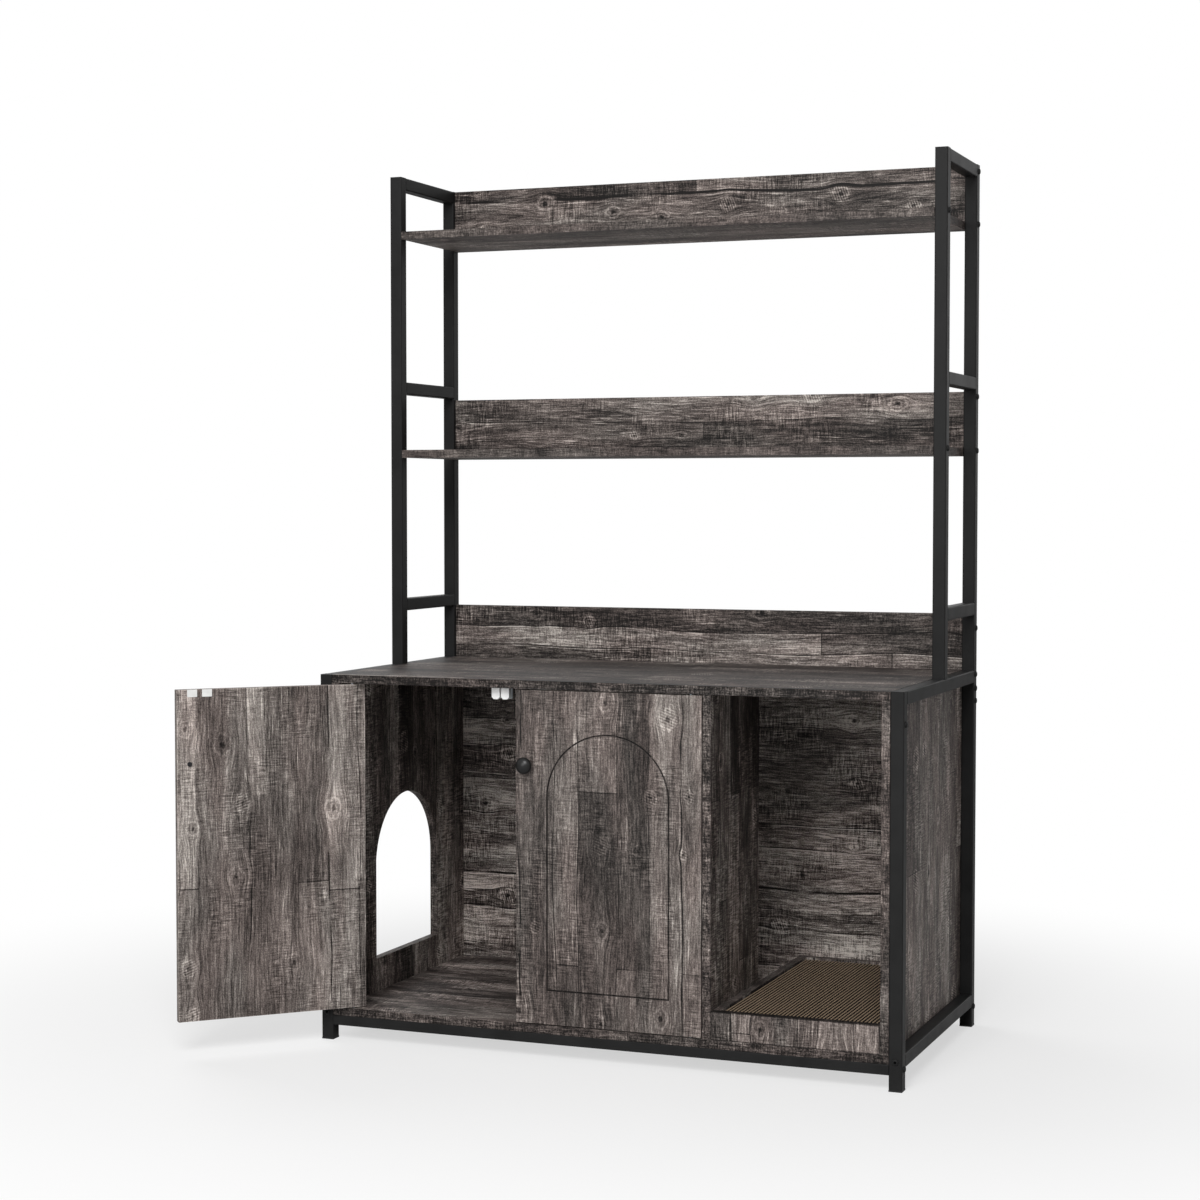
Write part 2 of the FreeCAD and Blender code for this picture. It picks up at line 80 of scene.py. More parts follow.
# ---------------------------------------------------------------- small tools
def hex_colour(text, alpha=1.0):
    """An sRGB hex value as linear light."""
    parts = [int(text[i:i + 2], 16) / 255 for i in (1, 3, 5)]
    return [p / 12.92 if p <= 0.04045 else ((p + 0.055) / 1.055) ** 2.4
            for p in parts] + [alpha]


def set_inputs(tree, node, inputs):
    """Gives each named or numbered input of a node its value, or a link."""
    for name, value in inputs.items():
        if isinstance(value, bpy.types.NodeSocket):
            tree.links.new(value, node.inputs[name])
        else:
            node.inputs[name].default_value = value


def add(tree, kind, inputs=None, out=0, stops=None, **settings):
    """Adds a node with its settings and inputs, and returns one of its outputs. The
    stops are those of a colour ramp."""
    node = tree.nodes.new("ShaderNode" + kind)
    for name, value in settings.items():
        setattr(node, name, value)
    set_inputs(tree, node, inputs or {})
    if stops:
        ramp = node.color_ramp.elements
        while len(ramp) < len(stops):
            ramp.new(0.5)
        for element, (position, colour) in zip(ramp, stops):
            element.position = position
            element.color = hex_colour(colour)
    return node.outputs[out]


def new_material(name):
    """A material with its node tree and its shader, ready for links."""
    material = bpy.data.materials.new(name)
    material.use_nodes = True
    return material, material.node_tree, material.node_tree.nodes["Principled BSDF"]


def give(obj, material):
    obj.data.materials.clear()
    obj.data.materials.append(material)


def link_mesh(bm, name):
    """Turns a bmesh into an object of the scene, standing at the origin."""
    mesh = bpy.data.meshes.new(name)
    bm.to_mesh(mesh)
    bm.free()
    made = bpy.data.objects.new(name, mesh)
    bpy.context.scene.collection.objects.link(made)
    return made


def finish_piece(bm, name, material, body, smooth_below=None, replaces=()):
    """Turns a bmesh into a piece of the object, on its body and in its material slot.
    Edges that turn by less than smooth_below degrees are shaded smooth."""
    piece = link_mesh(bm, name)
    give(piece, material)
    if smooth_below is not None:
        piece.data.shade_smooth()
        piece.data.set_sharp_from_angle(angle=math.radians(smooth_below))
    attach(piece, body)
    if replaces:
        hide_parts(*replaces)
    return piece


def turned(bm, outline, steps):
    """Turns an outline of (radius, height) points about the z axis. Points on the axis
    close its ends."""
    points = [bm.verts.new((radius, 0, height)) for radius, height in outline]
    edges = [bm.edges.new(pair) for pair in zip(points, points[1:])]
    bmesh.ops.spin(
        bm, geom=points + edges, cent=(0, 0, 0), axis=(0, 0, 1), dvec=(0, 0, 0),
        angle=math.tau, steps=steps, use_merge=True, use_duplicate=False)
    bmesh.ops.remove_doubles(bm, verts=bm.verts, dist=1e-6)


def eased_block(bm, size, middle, easing):
    """A block with a small flat on each edge, added to the mesh."""
    made = bmesh.ops.create_cube(bm, size=1)["verts"]
    bmesh.ops.scale(bm, vec=size, verts=made)
    bmesh.ops.translate(bm, vec=middle, verts=made)
    edges = list({edge for vert in made for edge in vert.link_edges})
    bmesh.ops.bevel(
        bm, geom=edges, offset=easing, offset_type="OFFSET", segments=1,
        profile=0.5, affect="EDGES", material=-1)


def only(kind, items):
    """The verts, or the edges, among an operator's results."""
    return [item for item in items if isinstance(item, kind)]


def soften_edges(node, width):
    """Joins a node's loose triangles and rounds its sharp edges a little."""
    weld = node.modifiers.new("weld", "WELD")
    weld.merge_threshold = 0.005 * MM
    rounding = node.modifiers.new("rounding", "BEVEL")
    rounding.width = width
    rounding.segments = 2
    rounding.limit_method = "ANGLE"
    rounding.angle_limit = math.radians(40)


def on_door(side):
    """The matrix from a door's own frame to its place at rest. In that frame x runs from
    the pivot to the free edge, -y is the outer face's side and z starts at the floor."""
    hinge = Matrix.Translation(HINGES[f"{side}_door"])
    if side == "left":
        return hinge @ Matrix.Rotation(-OPEN_ANGLE, 4, "Z")
    return hinge @ Matrix.Scale(-1, 4, (1, 0, 0))


# ---------------------------------------------------------------- rustic board print
# Laminated particle board with a printed rustic wood face: charcoal planks with rubbed
# remains of cream paint, saw marks, knots and stains. It gives the eye a matt, scratchy
# grey-brown that breaks up along the grain. Lengths in this print are in millimetres;
# the finest fibres are drawn 2.2 mm wide, coarser than real, so that they show.
PRINT_RAMP = [
    (0.00, "#131110"),
    (0.25, "#3d3937"),
    (0.45, "#5e5855"),
    (0.62, "#7c7672"),
    (0.80, "#9f9994"),
    (1.00, "#cec8c2"),
]
PRINT_LEAN = [(0.40, "#fffdfb"), (0.60, "#fff7f5")]  # to a cooler grey, or to brown
# Each noise of the print: how long, wide and deep its grains are, an offset that keeps
# it apart from the others, its octaves and their roughness.
GRAINS = {
    "knot_outline": ((9, 7, 7), 3.1, 2, 0.55),
    "wander": ((330, 95, 95), 8.4, 1, 0.55),
    "wear": ((120, 120, 120), 5.3, 1, 0.55),
    "stain": ((210, 60, 60), 1.3, 3, 0.55),
    "streak": ((120, 6.5, 6.5), 2.9, 3, 0.60),
    "fibre": ((32, 2.2, 2.2), 4.7, 2, 0.65),
    "speck": ((2.6, 2.3, 2.3), 6.1, 1, 0.55),
    "saw_mark": ((2.7, 24, 24), 7.7, 1, 0.55),
    "saw_patch": ((130, 75, 75), 9.2, 1, 0.55),
    "paint_line": ((50, 2.7, 2.7), 11.5, 2, 0.60),
    "paint_patch": ((150, 50, 50), 12.8, 2, 0.55),
    "crack": ((70, 2.6, 2.6), 14.1, 2, 0.60),
    "lean": ((260, 60, 60), 19.4, 1, 0.55),
    "edge_streak": ((2.8, 2.8, 17), 15.9, 2, 0.60),
    "edge_grain": ((26, 26, 2.4), 21.3, 2, 0.60),
    "edge_speck": ((2.7, 2.7, 2.7), 25.8, 1, 0.55),
    "edge_blotch": ((45, 45, 45), 17.2, 2, 0.55),
}
KNOT_SPACING = 105
KNOT_STRETCH = 1.3  # a knot is that much longer along the grain
KNOT_RADIUS = (4.5, 15.0)
KNOTLESS = 0.42  # the share of places without a knot
UNHATCHED = 0.55  # the share of knots without plane marks
KNOT_RINGS = 9.0  # radians of ring for each radius away from the heart
HATCH_LINES = (1.18, 0.42, 0)  # radians for each millimetre: lines 5 mm apart, slanted
GRAIN_BEND = -0.60  # how far a knot's heart draws the grain in
GRAIN_WANDER = 26.0
PLANK_WIDTH, PLANK_LENGTH = 62, 868
PLANK_UNEVEN, UNEVEN_EVERY = 60.0, 70
JOINT_LINE = {"offset": 0, "width": 1.116}  # the dark line between two planks
RUBBED_LINE = {"offset": 2.9, "width": 0.868}  # the pale one beside it
BRICK_UNIT = 620  # the brick pattern's own unit, in millimetres
FACE_START, BAND_START = -1.74, -1.40  # so that the sums lie around nought


def grain_noise(tree, place, name):
    """The named noise of the print, as a value around a half."""
    size, offset, octaves, roughness = GRAINS[name]
    scaled = add(tree, "VectorMath", {0: place, 1: [1 / length for length in size]},
                 operation="MULTIPLY")
    moved = add(tree, "VectorMath", {0: scaled, 1: (offset, offset * 1.7, offset * 0.6)},
                operation="ADD")
    return add(tree, "TexNoise", {
        "Vector": moved, "Scale": 1.0, "Detail": octaves, "Roughness": roughness})


def add_up(tree, start, terms):
    """start plus the sum of each share times its pattern."""
    total = start
    for share, pattern in terms:
        total = add(tree, "Math", {0: pattern, 1: share, 2: total},
                    operation="MULTIPLY_ADD")
    return total


def make_print():
    """The node group of the print. Its place is (along, across, through) the board in
    millimetres; its edge input is 1 on the narrow edge faces."""
    tree = bpy.data.node_groups.new("rustic_wood_print", "ShaderNodeTree")
    for name, in_out, kind in (
            ("Place", "INPUT", "Vector"), ("Edge", "INPUT", "Float"),
            ("Tone", "INPUT", "Float"), ("Contrast", "INPUT", "Float"),
            ("Colour", "OUTPUT", "Color"), ("Lightness", "OUTPUT", "Float")):
        tree.interface.new_socket(name, in_out=in_out, socket_type="NodeSocket" + kind)
    given = tree.nodes.new("NodeGroupInput").outputs
    result = tree.nodes.new("NodeGroupOutput").inputs
    place = given["Place"]

    # Knots: a scatter of points, of which about half carry one, longer along the grain.
    flat = add(tree, "VectorMath", {0: place, 1: (1 / KNOT_STRETCH, 1, 0)},
               operation="MULTIPLY")
    scatter = add(tree, "TexVoronoi", {"Vector": flat, "Scale": 1 / KNOT_SPACING},
                  voronoi_dimensions="2D").node.outputs
    lot = add(tree, "SeparateColor", {0: scatter["Color"]}).node.outputs
    has_knot = add(tree, "Math", {0: lot[0], 1: KNOTLESS}, operation="GREATER_THAN")
    radius = add(tree, "MapRange", {
        "Value": lot[1], "To Min": KNOT_RADIUS[0], "To Max": KNOT_RADIUS[1]})
    far = add(tree, "Math", {0: scatter["Distance"], 1: KNOT_SPACING},
              operation="MULTIPLY")
    far = add(tree, "Math", {0: far, 1: radius}, operation="DIVIDE")
    ragged = grain_noise(tree, place, "knot_outline")
    ragged = add(tree, "Math", {0: ragged, 1: 0.9, 2: far}, operation="MULTIPLY_ADD")
    knot = add(tree, "MapRange", {
        "Value": ragged, "From Min": 1.3, "From Max": 2.3, "To Min": 1.0, "To Max": 0.0})
    knot = add(tree, "Math", {0: knot, 1: has_knot}, operation="MULTIPLY")
    heart = add(tree, "MapRange", {
        "Value": ragged, "From Min": 0.7, "From Max": 1.15, "To Min": 1.0, "To Max": 0.0})
    heart = add(tree, "Math", {0: heart, 1: has_knot}, operation="MULTIPLY")
    rings = add(tree, "Math", {0: ragged, 1: KNOT_RINGS}, operation="MULTIPLY")
    rings = add(tree, "Math", {0: rings}, operation="SINE")
    rings = add(tree, "Math", {0: rings, 1: 0.6}, operation="ADD")
    rings = add(tree, "Math", {0: rings, 1: knot}, operation="MULTIPLY")
    # Slanted plane marks cross some of the knots as pale lines.
    hatch = add(tree, "VectorMath", {0: place, 1: HATCH_LINES}, out=1,
                operation="DOT_PRODUCT")
    hatch = add(tree, "Math", {0: hatch}, operation="SINE")
    hatch = add(tree, "MapRange", {"Value": hatch, "From Min": 0.1, "From Max": 0.8})
    hatched = add(tree, "Math", {0: lot[2], 1: UNHATCHED}, operation="GREATER_THAN")
    hatched = add(tree, "Math", {0: hatched, 1: knot}, operation="MULTIPLY")
    hatch = add(tree, "Math", {0: hatch, 1: hatched}, operation="MULTIPLY")

    # The grain bends round each knot and wanders a little along the board.
    along, across, through = add(tree, "SeparateXYZ", {0: place}).node.outputs
    from_heart = add(tree, "VectorMath", {0: flat, 1: scatter["Position"]},
                     operation="SUBTRACT")
    aside = add(tree, "SeparateXYZ", {0: from_heart}, out=1)
    pull = add(tree, "MapRange", {
        "Value": far, "From Max": 3.4, "To Min": GRAIN_BEND, "To Max": 0.0},
        interpolation_type="SMOOTHSTEP")
    pull = add(tree, "Math", {0: pull, 1: has_knot}, operation="MULTIPLY")
    bent = add(tree, "Math", {0: aside, 1: pull, 2: across}, operation="MULTIPLY_ADD")
    wander = grain_noise(tree, place, "wander")
    bent = add(tree, "Math", {0: wander, 1: GRAIN_WANDER, 2: bent},
               operation="MULTIPLY_ADD")
    grain = add(tree, "CombineXYZ", {0: along, 1: bent, 2: through})

    # Planks of uneven width: tone and thin joint lines, worn away in places.
    uneven = add(tree, "Math", {0: bent, 1: 1 / UNEVEN_EVERY}, operation="MULTIPLY")
    uneven = add(tree, "TexNoise", {"W": uneven, "Scale": 1.0, "Detail": 0.0},
                 noise_dimensions="1D")
    plank_across = add(tree, "Math", {0: uneven, 1: PLANK_UNEVEN, 2: bent},
                       operation="MULTIPLY_ADD")
    plank_place = add(tree, "CombineXYZ", {0: along, 1: plank_across})
    plank, rubbed_line_or_painted_arris = [add(tree, "TexBrick", {
        "Vector": add(tree, "VectorMath", {0: plank_place, 1: (0, line["offset"], 0)}),
        "Color1": (0, 0, 0, 1), "Color2": (1, 1, 1, 1), "Mortar": (0.5, 0.5, 0.5, 1),
        "Scale": 1 / BRICK_UNIT, "Mortar Size": line["width"] / BRICK_UNIT,
        "Mortar Smooth": 0.2, "Brick Width": PLANK_LENGTH / BRICK_UNIT,
        "Row Height": PLANK_WIDTH / BRICK_UNIT,
    }, offset=0.37, offset_frequency=2, squash=0.6, squash_frequency=3).node.outputs
        for line in (JOINT_LINE, RUBBED_LINE)]
    wear = grain_noise(tree, place, "wear")
    joint = add(tree, "MapRange", {"Value": wear, "From Min": 0.38, "From Max": 0.48})
    joint = add(tree, "Math", {0: plank["Fac"], 1: joint}, operation="MULTIPLY")
    rim = add(tree, "MapRange", {"Value": wear, "From Min": 0.50, "From Max": 0.60})
    rim = add(tree, "Math", {0: rubbed_line_or_painted_arris["Fac"], 1: rim}, operation="MULTIPLY")

    # Saw marks run across the grain, in patches.
    saw = add(tree, "Math", {0: grain_noise(tree, place, "saw_mark"), 1: 0.5},
              operation="SUBTRACT")
    sawn = add(tree, "MapRange", {
        "Value": grain_noise(tree, place, "saw_patch"),
        "From Min": 0.44, "From Max": 0.62, "To Min": 0.15})
    saw = add(tree, "Math", {0: saw, 1: sawn}, operation="MULTIPLY")
    # Paint left in the pores: thin cream lines, in patches.
    paint = grain_noise(tree, grain, "paint_line")
    paint = add(tree, "MapRange", {"Value": paint, "From Min": 0.57, "From Max": 0.69})
    painted = add(tree, "MapRange", {
        "Value": grain_noise(tree, place, "paint_patch"),
        "From Min": 0.45, "From Max": 0.62, "To Min": 0.1})
    paint = add(tree, "Math", {0: paint, 1: painted}, operation="MULTIPLY")
    crack = add(tree, "MapRange", {
        "Value": grain_noise(tree, grain, "crack"), "From Min": 0.36, "From Max": 0.26})

    # What each pattern adds to the face's lightness, or takes from it.
    face = add_up(tree, FACE_START, [
        (0.80, grain_noise(tree, grain, "stain")),
        (0.30, add(tree, "SeparateColor", {0: plank["Color"]})),
        (0.66, grain_noise(tree, grain, "streak")),
        (1.05, grain_noise(tree, grain, "fibre")),
        (0.65, grain_noise(tree, place, "speck")),
        (0.90, saw),
        (0.38, paint),
        (-0.28, crack),
        (-0.46, joint),
        (0.32, rim),
        (-0.34, heart),
        (0.13, rings),
        (0.24, hatch),
    ])
    # The edge band is printed finer, in a weave of streaks along and across the edge.
    band = add_up(tree, BAND_START, [
        (0.65, grain_noise(tree, place, "edge_streak")),
        (0.80, grain_noise(tree, place, "edge_grain")),
        (0.60, grain_noise(tree, place, "edge_speck")),
        (0.60, grain_noise(tree, place, "edge_blotch")),
    ])
    light = add(tree, "Mix", {0: given["Edge"], 2: face, 3: band})
    light = add(tree, "Math", {0: light, 1: given["Contrast"], 2: given["Tone"]},
                operation="MULTIPLY_ADD")
    colour = add(tree, "ValToRGB", {0: light}, stops=PRINT_RAMP)
    lean = add(tree, "ValToRGB", {0: grain_noise(tree, grain, "lean")}, stops=PRINT_LEAN)
    colour = add(tree, "Mix", {0: 1.0, 6: colour, 7: lean}, out=2, data_type="RGBA",
                 blend_type="MULTIPLY")
    tree.links.new(colour, result["Colour"])
    tree.links.new(light, result["Lightness"])
    return tree


rustic_print = make_print()

# How a board lies, as the turn that takes the object's axes to (along, across, through).
LYING = Matrix.Identity(3)
BACKING = Matrix.Rotation(-QUARTER_TURN, 3, "X")
FACING = Euler((QUARTER_TURN, 0, QUARTER_TURN)).to_matrix()
SIDEWAYS = Matrix.Rotation(QUARTER_TURN, 3, "Y")
STANDING_OPEN = FACING @ Matrix.Rotation(OPEN_ANGLE, 3, "Z")

FACE_FACING = 0.6  # how squarely a spot faces outwards, at the least, to be on the face
ARRIS_FACING = (0.6, 0.35)  # the middle and spread of what counts as a rounded arris
RIM_WIDTH = 2  # millimetres, as is the next
BELOW_FACE = 0.25
# How much painted shade darkens a door's routed groove.
GROOVE_PAINTED_SHADE = -0.36


def print_box(node, lie, shift):
    """The middle and half size of a node's box, measured in its own print's place."""
    corners = [lie @ (vertex.co / MM) + Vector(shift) for vertex in node.data.vertices]
    low, high = [Vector([pick(c[axis] for c in corners) for axis in range(3)])
                 for pick in (min, max)]
    return (low + high) / 2, (high - low) / 2


def rustic_board(name, lie, shift, tone, contrast, arris, rim):
    """Rustic print on one board. The shift, in millimetres, picks its piece of the print.
    The rounded arrises get painted highlight or painted shade, paler or darker by a share,
    and so does the rim of the face. The routed groove of a door, which lies below the face,
    gets painted shade."""
    material, tree, shader = new_material(f"rustic_laminate_{name}")
    coordinates = add(tree, "TexCoord").node.outputs
    place = add(tree, "Mapping", {
        "Vector": coordinates["Object"], "Location": shift,
        "Rotation": lie.to_euler(), "Scale": (1 / MM, 1 / MM, 1 / MM)})
    outwards = lie.transposed() @ Vector((0, 0, 1))
    facing = add(tree, "VectorMath", {0: coordinates["Normal"], 1: outwards},
                 out=1, operation="DOT_PRODUCT")
    facing = add(tree, "Math", {0: facing}, operation="ABSOLUTE")
    edge = add(tree, "Math", {0: facing, 1: FACE_FACING}, operation="LESS_THAN")
    # Painted highlight or painted shade on the rounded arrises, by the arris share.
    rubbed_line_or_painted_arris = add(tree, "Math", {0: facing, 1: ARRIS_FACING[0], 2: ARRIS_FACING[1]},
                 operation="COMPARE")
    tone_and_painted_light = add(tree, "Math", {0: rubbed_line_or_painted_arris, 1: arris, 2: tone}, operation="MULTIPLY_ADD")
    middle, half = print_box(NODES[name], lie, shift)
    inside = add(tree, "VectorMath", {0: place, 1: middle}, operation="SUBTRACT")
    inside = add(tree, "VectorMath", {0: inside}, operation="ABSOLUTE")
    inside = add(tree, "SeparateXYZ", {0: inside}).node.outputs
    along, across, below = [
        add(tree, "Math", {0: inside[axis], 1: half[axis] - margin}, operation="LESS_THAN")
        for axis, margin in enumerate((RIM_WIDTH, RIM_WIDTH, BELOW_FACE))]
    field = add(tree, "Math", {0: along, 1: across}, operation="MULTIPLY")
    # Painted shade in a door's routed groove: its floor and walls, below the face, are
    # darkened.
    if name.endswith("_door"):
        cut = add(tree, "Math", {0: field, 1: below}, operation="MULTIPLY")
        tone_and_painted_light = add(tree, "Math", {0: cut, 1: GROOVE_PAINTED_SHADE, 2: tone_and_painted_light},
                       operation="MULTIPLY_ADD")
    # The rim share paints highlight on the 2 mm rim of the face where it is above nought,
    # and shade where it is below.
    if rim:
        outside = add(tree, "Math", {0: 1.0, 1: field}, operation="SUBTRACT")
        tone_and_painted_light = add(tree, "Math", {0: outside, 1: rim, 2: tone_and_painted_light},
                       operation="MULTIPLY_ADD")
    pattern = tree.nodes.new("ShaderNodeGroup")
    pattern.node_tree = rustic_print
    set_inputs(tree, pattern, {
        "Place": place, "Edge": edge, "Tone": tone_and_painted_light, "Contrast": contrast})
    lightness = pattern.outputs["Lightness"]
    roughness = add(tree, "MapRange", {"Value": lightness, "To Min": 0.50, "To Max": 0.62})
    emboss = add(tree, "Bump", {"Strength": 0.35, "Distance": 0.4 * MM, "Height": lightness})
    set_inputs(tree, shader, {
        "Base Color": pattern.outputs["Colour"], "Roughness": roughness, "Normal": emboss,
        "IOR": 1.45, "Specular IOR Level": 0.14})
    return material


# Each board's lie, tone and contrast, and the shares of its arrises and of its rim, which
# paint highlight where a share is above nought and shade where it is below. The tones hold
# painted light and shade as well as the print's own lightness: they follow how lit each
# board looked, so the left door is set lighter than the right door, the tabletop darker and
# the back panel lighter.
BOARDS = {
    "bottom_board": (LYING, 0.33, 1.4, -0.10, 0.0),
    "tabletop": (LYING, 0.25, 1.4, 0.0, 0.0),
    "middle_shelf": (LYING, 0.40, 1.0, 0.0, 0.0),
    "top_shelf": (LYING, 0.40, 1.0, 0.0, 0.0),
    "back_panel": (BACKING, 0.57, 1.5, 0.0, 0.0),
    "lower_backboard": (BACKING, 0.39, 1.2, 0.0, 0.0),
    "middle_backboard": (BACKING, 0.35, 1.2, 0.0, 0.0),
    "upper_backboard": (BACKING, 0.34, 1.25, 0.0, 0.0),
    "left_side_panel": (SIDEWAYS, 0.41, 1.4, 0.10, 0.0),
    "right_side_panel": (SIDEWAYS, 0.42, 1.3, -0.10, 0.0),
    "partition": (SIDEWAYS, 0.38, 1.5, 0.0, 0.0),
    "tray_side_board": (SIDEWAYS, 0.42, 1.2, 0.0, 0.0),
    "tray_apron": (FACING, 0.45, 1.0, -0.35, -0.35),
    "tray_rear_board": (FACING, 0.44, 1.2, 0.0, 0.0),
    "right_door": (FACING, 0.38, 0.86, 0.05, 0.0),
    "left_door": (STANDING_OPEN, 0.52, 0.9, 0.15, 0.08),
}
# From one board's piece of the print to the next board's, in millimetres.
PRINT_SHIFT = Vector((731.0, 417.0, 263.0))
ARRIS = 0.6 * MM
APRON_ARRIS = 1.0 * MM

laminates = {}
for number, (name, (lie, *finish)) in enumerate(BOARDS.items()):
    laminates[name] = rustic_board(name, lie, PRINT_SHIFT * number, *finish)
    give(NODES[name], laminates[name])
    if not name.endswith("_door"):
        soften_edges(NODES[name], APRON_ARRIS if name == "tray_apron" else ARRIS)


# ---------------------------------------------------------------- plain finishes
def powder_coat():
    """Powder-coated steel tube: satin black with a faint orange peel, which gives soft
    wide highlights along the tubes' corners."""
    material, tree, shader = new_material("satin_black_powder_coat")
    place = add(tree, "TexCoord", out=3)
    peel = add(tree, "TexNoise", {"Vector": place, "Scale": 1 / (1.4 * MM), "Detail": 2.0})
    cloud = add(tree, "TexNoise", {"Vector": place, "Scale": 1 / (60 * MM), "Detail": 3.0})
    colour = add(tree, "ValToRGB", {0: cloud}, stops=[(0.3, "#202020"), (0.7, "#262626")])
    roughness = add(tree, "MapRange", {
        "Value": cloud, "From Min": 0.3, "From Max": 0.7, "To Min": 0.38, "To Max": 0.46})
    bump = add(tree, "Bump", {"Strength": 0.25, "Distance": 0.05 * MM, "Height": peel})
    set_inputs(tree, shader, {
        "Base Color": colour, "Roughness": roughness, "Normal": bump, "IOR": 1.5,
        "Specular IOR Level": 0.06})
    return material


def moulded(name, dark, light, roughness, grit):
    """Moulded plastic, or enamel sprayed on a plate: one colour with faint flow clouds
    and a fine grain, whose size in millimetres is the grit. It gives a soft even sheen."""
    material, tree, shader = new_material(name)
    place = add(tree, "TexCoord", out=3)
    flow = add(tree, "TexNoise", {"Vector": place, "Scale": 1 / (12 * MM), "Detail": 2.0})
    grain = add(tree, "TexNoise", {
        "Vector": place, "Scale": 1 / (grit * MM), "Detail": 1.0})
    colour = add(tree, "ValToRGB", {0: flow}, stops=[(0.3, dark), (0.7, light)])
    bump = add(tree, "Bump", {"Strength": 0.2, "Distance": 0.03 * MM, "Height": grain})
    set_inputs(tree, shader, {
        "Base Color": colour, "Roughness": roughness, "Normal": bump, "IOR": 1.5,
        "Specular IOR Level": 0.3})
    return material


def zinc_plate(name, dark, light):
    """Plated steel with fine turning lines: pale blue-grey when the zinc is left clear,
    near black when it is passivated black."""
    material, tree, shader = new_material(name)
    place = add(tree, "TexCoord", out=3)
    lines = add(tree, "VectorMath", {0: place, 1: (900, 900, 90)}, operation="MULTIPLY")
    lines = add(tree, "TexNoise", {"Vector": lines, "Scale": 2.0, "Detail": 2.0})
    colour = add(tree, "ValToRGB", {0: lines}, stops=[(0.3, dark), (0.7, light)])
    roughness = add(tree, "MapRange", {
        "Value": lines, "From Min": 0.3, "From Max": 0.7, "To Min": 0.28, "To Max": 0.42})
    set_inputs(tree, shader, {
        "Base Color": colour, "Roughness": roughness, "Metallic": 1.0})
    return material


def black_lacquer():
    """Sprayed gloss black on a turned knob: deep, with a soft round highlight."""
    material, tree, shader = new_material("black_lacquer")
    place = add(tree, "TexCoord", out=3)
    spray = add(tree, "TexNoise", {
        "Vector": place, "Scale": 1 / (1.1 * MM), "Detail": 2.0})
    colour = add(tree, "ValToRGB", {0: spray}, stops=[(0.3, "#0c0c0c"), (0.7, "#111111")])
    bump = add(tree, "Bump", {"Strength": 0.1, "Distance": 0.02 * MM, "Height": spray})
    set_inputs(tree, shader, {
        "Base Color": colour, "Roughness": 0.34, "Normal": bump, "IOR": 1.5,
        "Specular IOR Level": 0.3})
    return material


def kraft_board():
    """Corrugated kraft cardboard on edge: brown paper with fine fibres. Its colour holds
    painted shade: below the top edge, down in the flutes, the paper turns near black, and
    only the cut edges keep its own brown."""
    material, tree, shader = new_material("kraft_cardboard")
    place = add(tree, "TexCoord", out=3)
    fibres = add(tree, "VectorMath", {0: place, 1: (1000, 160, 1000)}, operation="MULTIPLY")
    fibres = add(tree, "TexNoise", {"Vector": fibres, "Scale": 0.7, "Detail": 3.0})
    height = add(tree, "SeparateXYZ", {0: place}, out=2)
    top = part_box("scratch_pad")[1].z
    # Painted shade: the paper darkens below its top edge, down in the flutes.
    depth = add(tree, "MapRange", {
        "Value": height, "From Min": top - 2.2 * MM, "From Max": top - 0.6 * MM})
    mixed = add(tree, "Math", {0: fibres, 1: 0.5, 2: depth}, operation="MULTIPLY_ADD")
    colour = add(tree, "ValToRGB", {0: mixed}, stops=[
        (0.15, "#0d0b09"), (0.85, "#1e1813"), (1.0, "#94806a")])
    bump = add(tree, "Bump", {"Strength": 0.3, "Distance": 0.1 * MM, "Height": fibres})
    set_inputs(tree, shader, {
        "Base Color": colour, "Roughness": 0.85, "Normal": bump, "IOR": 1.4})
    return material


coat = powder_coat()
zinc = zinc_plate("zinc_plated_steel", "#a8adb2", "#c2c6ca")
black_zinc = zinc_plate("black_zinc_plated_steel", "#2b2b2d", "#3a3a3c")
lacquer = black_lacquer()
kraft = kraft_board()
polyethylene = moulded("black_polyethylene", "#161616", "#1e1e1e", 0.55, 0.8)
nylon = moulded("black_nylon", "#1a1a1a", "#242424", 0.5, 0.6)
catch_white = moulded("white_abs_plastic", "#d9d9d8", "#e6e6e5", 0.38, 0.7)
enamel = moulded("white_enamelled_plate", "#d4d4d2", "#dededc", 0.35, 1.0)

# The finish of each kind of node, by the end of its name, and whether it is eased.
FINISHES = [
    (("_leg", "_upright", "_rail", "_rung"), coat, False),
    (("_sleeve", "_door_pins"), zinc, False),
    (("_knob_screw",), black_zinc, False),
    (("_bushes",), nylon, False),
    (("_foot",), polyethylene, True),
    (("_catches",), catch_white, True),
    (("_strikers",), enamel, True),
]
for endings, finish, eased in FINISHES:
    for name, node in NODES.items():
        if name.endswith(endings):
            give(node, finish)
            if eased:
                soften_edges(node, ARRIS)


# ---------------------------------------------------------------- doors
# Each door board is made again here, because in the frame's own one straight side of the
# routed arch is set in too far. The new board has the same box and the same groove, and
# leaves out the pins' bores and the screw's hole, which are hidden.
DOOR_LOW, DOOR_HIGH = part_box("right_door")
DOOR_BOTTOM, DOOR_TOP = DOOR_LOW.z, DOOR_HIGH.z
DOOR_HINGE_EDGE = HINGES["right_door"].x - DOOR_HIGH.x
DOOR_FREE_EDGE = HINGES["right_door"].x - DOOR_LOW.x
DOOR_MIDDLE = (DOOR_HINGE_EDGE + DOOR_FREE_EDGE) / 2
DOOR_OUTER_FACE = -BOARD / 2
GROOVE_WIDTH = 3 * MM
GROOVE_DEPTH = 2 * MM
ARCH_WIDTH = 243 * MM
ARCH_FOOT = 132 * MM
ARCH_CROWN = 618 * MM
ARCH_STEPS = 40


